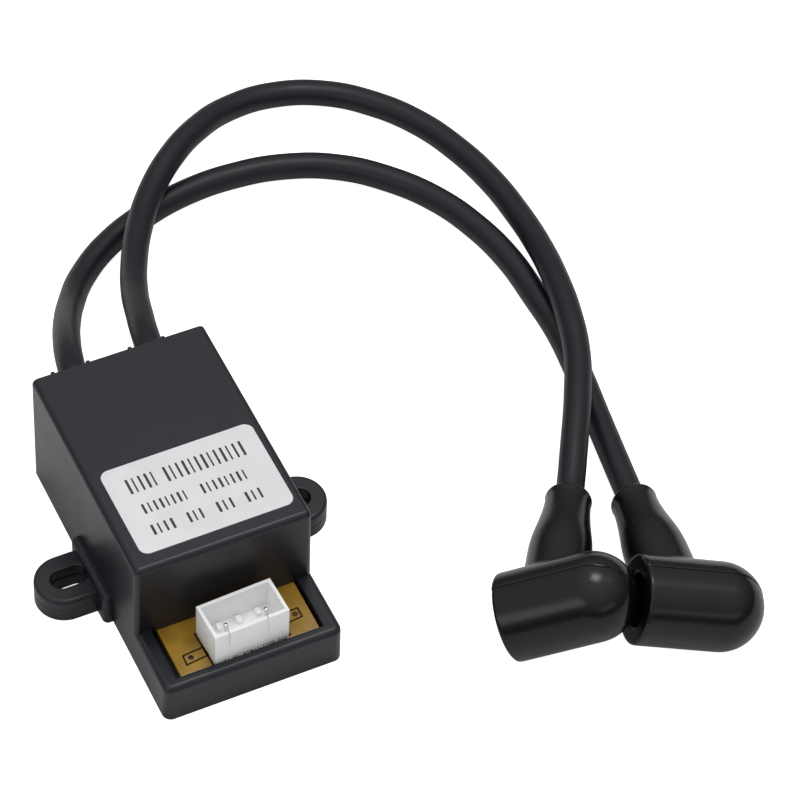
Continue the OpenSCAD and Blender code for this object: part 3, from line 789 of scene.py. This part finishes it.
# unfilled nylon is cream, smooth and half dull
bobbin_nylon, tree, shader, place = make_material(
    "cream_bobbin_nylon", Base_Color=srgb(0xCDBE98)
)
flow_marks = add_node(tree, "TexNoise", {"Vector": place, "Scale": 1 / (3 * MM), "Detail": 3})
add_node(
    tree, "MapRange", {"Value": flow_marks.outputs["Fac"], "To Min": 0.4, "To Max": 0.6},
    {"Result": shader.inputs["Roughness"]},
)
# enamelled wire shines red-gold in fine ribs 0.592 mm apart, one for two turns;
# the bands of a wave texture at scale 1 are pi / 10 apart
enamelled_copper, tree, shader, place = make_material(
    "enamelled_copper_wire", Base_Color=srgb(0xA9592C), Metallic=0.8, Roughness=0.3
)
turns = add_node(
    tree, "TexWave",
    {"Vector": place, "Scale": math.pi / 10 / (0.592 * MM), "Distortion": 0.4},
    bands_direction="Y",
)
add_node(
    tree, "Bump", {"Height": turns.outputs["Fac"], "Distance": 0.1 * MM},
    {"Normal": shader.inputs["Normal"]},
)
# dipped epoxy is brick red and glossy, with the soft sags of the dip
capacitor_epoxy, tree, shader, place = make_material(
    "red_dipped_epoxy", Base_Color=srgb(0x7E3524), Roughness=0.3
)
sags = add_node(tree, "TexNoise", {"Vector": place, "Scale": 1 / (2.5 * MM)})
add_node(
    tree, "Bump", {"Height": sags.outputs["Fac"], "Distance": 0.06 * MM},
    {"Normal": shader.inputs["Normal"]},
)
# transfer-moulded epoxy is black and fine satin
diode_epoxy, tree, shader, place = make_material("black_diode_epoxy", Base_Color=srgb(0x1E1E20))
bloom = add_node(tree, "TexNoise", {"Vector": place, "Scale": 1 / (1 * MM)})
add_node(
    tree, "MapRange", {"Value": bloom.outputs["Fac"], "To Min": 0.3, "To Max": 0.5},
    {"Result": shader.inputs["Roughness"]},
)
# resistor lacquer is a smooth tan coat with a low gloss
resistor_lacquer, tree, shader, place = make_material(
    "tan_resistor_lacquer", Base_Color=srgb(0xC7A578)
)
brush_marks = add_node(tree, "TexNoise", {"Vector": place, "Scale": 1 / (1 * MM)})
add_node(
    tree, "MapRange", {"Value": brush_marks.outputs["Fac"], "To Min": 0.25, "To Max": 0.45},
    {"Result": shader.inputs["Roughness"]},
)
for names, material in (
    (("core_front", "core_back"), ferrite),
    (("primary_bobbin", "secondary_bobbin"), bobbin_nylon),
    (("primary_winding", "secondary_winding"), enamelled_copper),
    (("storage_capacitor",), capacitor_epoxy),
    (("rectifier_diode", "trigger_device"), diode_epoxy),
    (("bleed_resistor",), resistor_lacquer),
):
    for name in names:
        dress_node(name, material)


# The terminals are sleeves of spring brass, crimped to the end of each lead.
# Their nickel plate is a warm grey, cloudy where the crimping tool pressed it.
nickel, tree, shader, place = make_material(
    "nickel_plated_brass", Base_Color=srgb(0xCFC8B4), Metallic=1.0
)
tool_marks = add_node(tree, "TexNoise", {"Vector": place, "Scale": 1 / (1.5 * MM), "Detail": 3})
add_node(
    tree, "MapRange", {"Value": tool_marks.outputs["Fac"], "To Min": 0.2, "To Max": 0.42},
    {"Result": shader.inputs["Roughness"]},
)
dress_node("terminal_left", nickel)
dress_node("terminal_right", nickel)


# The boots are right-angle caps moulded in black silicone rubber: a barrel with
# a round end and an open socket, and a tapered neck that grips the lead. The two
# halves of the mould don't quite meet, which leaves a groove with a low step.
BOOT_SIDES, BOOT_VOXEL, BOOT_SMOOTH = 128, 0.26, 18
BARREL_R, MOUTH_AT, DOME_AT = 9.28, -0.25, 18.25
BARREL = [  # radius, distance from the mouth
    (BARREL_R - 0.5, MOUTH_AT), (BARREL_R - 0.25, MOUTH_AT + 0.06),
    (BARREL_R - 0.08, MOUTH_AT + 0.22), (BARREL_R, MOUTH_AT + 0.5),
    *((BARREL_R, at) for at in (4, 8, 12, 16, DOME_AT)),
    *((BARREL_R * math.cos(math.radians(turn)), DOME_AT + BARREL_R * math.sin(math.radians(turn)))
      for turn in range(6, 90, 6)),
    (0.2, DOME_AT + BARREL_R),
]
NECK = [  # radius, distance from the barrel's axis
    (6.6, 1), (6.6, 8), (6.6, 14), (6.57, 16), (6.44, 18), (6.2, 20), (5.85, 22), (5.5, 24),
    (5.2, 26), (4.95, 28), (4.8, 30), (4.76, 31.4), (4.84, 31.9), (4.92, 32.2), (4.94, 32.45),
    (4.86, 32.75), (4.6, 32.95), (4.3, 33),
]
SOCKET = [  # radius, distance from the mouth: eased rim, socket, step, seal
    (6.4, -1), (6.1, 0), (5.78, 0.1), (5.58, 0.3), (5.5, 0.6), (5.5, 6), (5.0, 6.01), (5.0, 18.25),
]
NECK_AT, NECK_BORE_R = 9.25, 3.1
SEAM_HALF, SEAM_DEEP, SEAM_STEP = 0.26, 0.34, 0.12
BOOTS = {  # mouth centre, heading, rise, turn and lean of the neck, turn of the seam
    "left": ((52, -47.4, 8.37), -26.4, 26.2, 78.7, 2.9, 5),
    "right": ((75.4, -57.15, 13.9), -18.9, -14.1, 77.5, -3.4, 1),
}


def add_turned(name, rings, sides):
    """A turned form: a disc drawn out ring by ring, each given as radius and height."""
    (radius, height), *rest = rings
    bpy.ops.object.select_all(action="DESELECT")
    bpy.ops.mesh.primitive_circle_add(
        vertices=sides, radius=radius * MM, fill_type="NGON", location=(0, 0, height * MM)
    )
    piece = name_piece(name)
    select_parts(piece, "FACE", lambda middle, normal: True)
    for next_radius, next_height in rest:
        bpy.ops.mesh.extrude_region_move(
            TRANSFORM_OT_translate={"value": (0, 0, (next_height - height) * MM)}
        )
        scale = next_radius / radius
        bpy.ops.transform.resize(value=(scale, scale, 1))
        radius, height = next_radius, next_height
    bpy.ops.mesh.select_all(action="SELECT")
    bpy.ops.mesh.normals_make_consistent(inside=False)
    bpy.ops.object.mode_set(mode="OBJECT")
    return piece


def move_piece(piece, matrix):
    """Moves a piece by a matrix in millimetres, and puts its place into its mesh."""
    bpy.ops.object.select_all(action="DESELECT")
    bpy.context.view_layer.objects.active = piece
    piece.select_set(True)
    piece.matrix_world = Matrix.Translation(matrix.translation * MM) @ matrix.to_3x3().to_4x4()
    bpy.ops.object.transform_apply(location=True, rotation=True, scale=True)


def add_boot(name, lean, seam_turn):
    """A boot with its barrel up the Z axis from the mouth, and its neck along X."""
    boot = add_turned(name, BARREL, BOOT_SIDES)
    neck = add_turned("neck", NECK, BOOT_SIDES)
    neck_turn = (
        Matrix.Translation((0, 0, NECK_AT)) @ Matrix.Rotation(math.radians(90 - lean), 4, "Y")
    )
    move_piece(neck, neck_turn)
    join_on(boot, neck)
    apply_modifier(boot, "REMESH", mode="VOXEL", voxel_size=BOOT_VOXEL * MM)
    apply_modifier(boot, "SMOOTH", factor=0.5, iterations=BOOT_SMOOTH)
    # the half with the neck stands a little proud of the groove where the mould closed
    across = Vector((math.cos(math.radians(seam_turn)), math.sin(math.radians(seam_turn)), 0))
    for offset in (-SEAM_HALF, 0, SEAM_HALF):
        select_parts(boot, "FACE", lambda middle, normal: True)
        bpy.ops.mesh.bisect(plane_co=across * offset * MM, plane_no=across, threshold=1e-6)
        bpy.ops.object.mode_set(mode="OBJECT")
    select_parts(boot, "EDGE", lambda middle, along: abs(middle.dot(across)) < 0.003)
    bpy.ops.transform.shrink_fatten(value=-SEAM_DEEP * MM)
    bpy.ops.object.mode_set(mode="OBJECT")
    select_parts(boot, "FACE", lambda middle, normal: middle.dot(across) > SEAM_HALF)
    bpy.ops.transform.shrink_fatten(value=SEAM_STEP * MM)
    bpy.ops.object.mode_set(mode="OBJECT")
    cut_out(boot, add_turned("socket", SOCKET, 64))
    cut_out(boot, add_rod(
        "lead_bore", (0, 0, NECK_AT), neck_turn.to_3x3() @ Vector((0, 0, 1)), NECK_BORE_R, 40
    ))
    return boot


# silicone from a polished mould is deep black with long soft glints, broken a
# little where it was handled
rubber, tree, shader, place = make_material(
    "black_silicone_rubber", Base_Color=srgb(0x090A0F), IOR=1.4
)
smears = add_node(tree, "TexNoise", {"Vector": place, "Scale": 1 / (4 * MM), "Detail": 5})
add_node(
    tree, "MapRange", {"Value": smears.outputs["Fac"], "To Min": 0.15, "To Max": 0.29},
    {"Result": shader.inputs["Roughness"]},
)
orange_peel = add_node(
    tree, "TexNoise", {"Vector": place, "Scale": 1 / (0.9 * MM), "Detail": 4}
)
add_node(
    tree, "Bump", {"Height": orange_peel.outputs["Fac"], "Distance": 0.012 * MM},
    {"Normal": shader.inputs["Normal"]},
)
for side, (mouth, heading, rise, turn, lean, seam_turn) in BOOTS.items():
    boot = add_boot("rubber_boot_" + side, lean, seam_turn)
    move_piece(
        boot,
        Matrix.Translation(mouth)
        @ Matrix.Rotation(math.radians(heading), 4, "Z")
        @ Matrix.Rotation(math.radians(90 - rise), 4, "Y")
        @ Matrix.Rotation(math.radians(turn), 4, "Z"),
    )
    smooth_piece(boot, 40)
    boot.data.materials.append(rubber)
    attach(boot, "root")
    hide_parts("boot_" + side)


# The leads are tinned copper strand in 6 mm of soft black silicone. Each leaves
# its collar straight, drops to the table in one wide arc and ends in a boot;
# the outer one passes over the inner one twice. Points are x, y, z in millimetres.
LEADS = {  # side of its exit, side of its boot, length in metres, points along its middle
    "outer": ("right", "left", 0.3022, [
        (7.9, 30.8, 25), (7.9, 34.4, 25), (8.9, 40, 23.8), (11.0, 48, 20.5), (14.3, 59, 15.5),
        (18.5, 69.5, 12), (24, 80, 10.2), (31, 90, 9.4), (39.5, 98.4, 9.4), (49, 105.4, 8.2),
        (59.5, 110.8, 5.6), (71, 112.3, 3.8), (82.3, 108.8, 3.1), (91.3, 101.3, 3.1),
        (98.4, 91.4, 3.1), (103, 80, 3.1), (105.4, 68.5, 3.5), (105.9, 56, 4.6),
        (105, 43.5, 6.4), (103, 32, 8.4), (100.5, 21, 9.4), (97, 10, 9.4), (91.5, -1, 9.4),
        (85.4, -11.5, 8.6), (77.7, -24.2, 7.43), (62.229, -47.063, 11.633),
    ]),
    "inner": ("left", "right", 0.2782, [
        (-9.3, 30.8, 25), (-9.3, 34.4, 25), (-8.2, 40, 23.7), (-5.7, 48, 20.1), (-1.8, 58, 13.8),
        (2.8, 67.6, 7.9), (9.2, 77.1, 4.2), (18, 84.5, 3.1), (29, 89.5, 3.1), (40.5, 92.4, 3.1),
        (52.5, 92.9, 3.1), (64.5, 90.9, 3.1), (75.5, 85.9, 3.1), (84.5, 78, 3.1),
        (91.5, 68.3, 3.1), (96, 57.4, 3.1), (98.5, 45.5, 3.1), (99, 33.5, 3.1), (99, 21.5, 3.1),
        (97.6, 9.5, 3.1), (95.6, -2.5, 3.1), (93.5, -13.8, 3.9), (90.8, -28.4, 5.123),
        (84.877, -55.4, 10.485),
    ]),
}
# an extruded jacket is duller than the boots, and takes one broad soft glint
jacket, tree, shader, place = make_material(
    "black_silicone_jacket", Base_Color=srgb(0x101119), IOR=1.4
)
dust = add_node(tree, "TexNoise", {"Vector": place, "Scale": 1 / (6 * MM), "Detail": 4})
add_node(
    tree, "MapRange", {"Value": dust.outputs["Fac"], "To Min": 0.36, "To Max": 0.5},
    {"Result": shader.inputs["Roughness"]},
)
drag_marks = add_node(tree, "TexNoise", {"Vector": place, "Scale": 1 / (0.8 * MM), "Detail": 3})
add_node(
    tree, "Bump", {"Height": drag_marks.outputs["Fac"], "Distance": 0.01 * MM},
    {"Normal": shader.inputs["Normal"]},
)
for name, (exit_side, boot_side, length, route) in LEADS.items():
    line = bpy.data.curves.new("silicone_lead_" + name, "CURVE")
    line.dimensions = "3D"
    line.bevel_depth = LEAD_R * MM
    line.bevel_resolution = 10
    line.resolution_u = 10
    line.use_fill_caps = True
    spline = line.splines.new("BEZIER")
    spline.bezier_points.add(len(route) - 1)
    for knot, place in zip(spline.bezier_points, route):
        knot.co = Vector(place) * MM
        knot.handle_left_type = knot.handle_right_type = "AUTO"
    lead = bpy.data.objects.new("silicone_lead_" + name, line)
    bpy.context.scene.collection.objects.link(lead)
    line.materials.append(jacket)
    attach(lead, "root")
    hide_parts("lead_" + name)
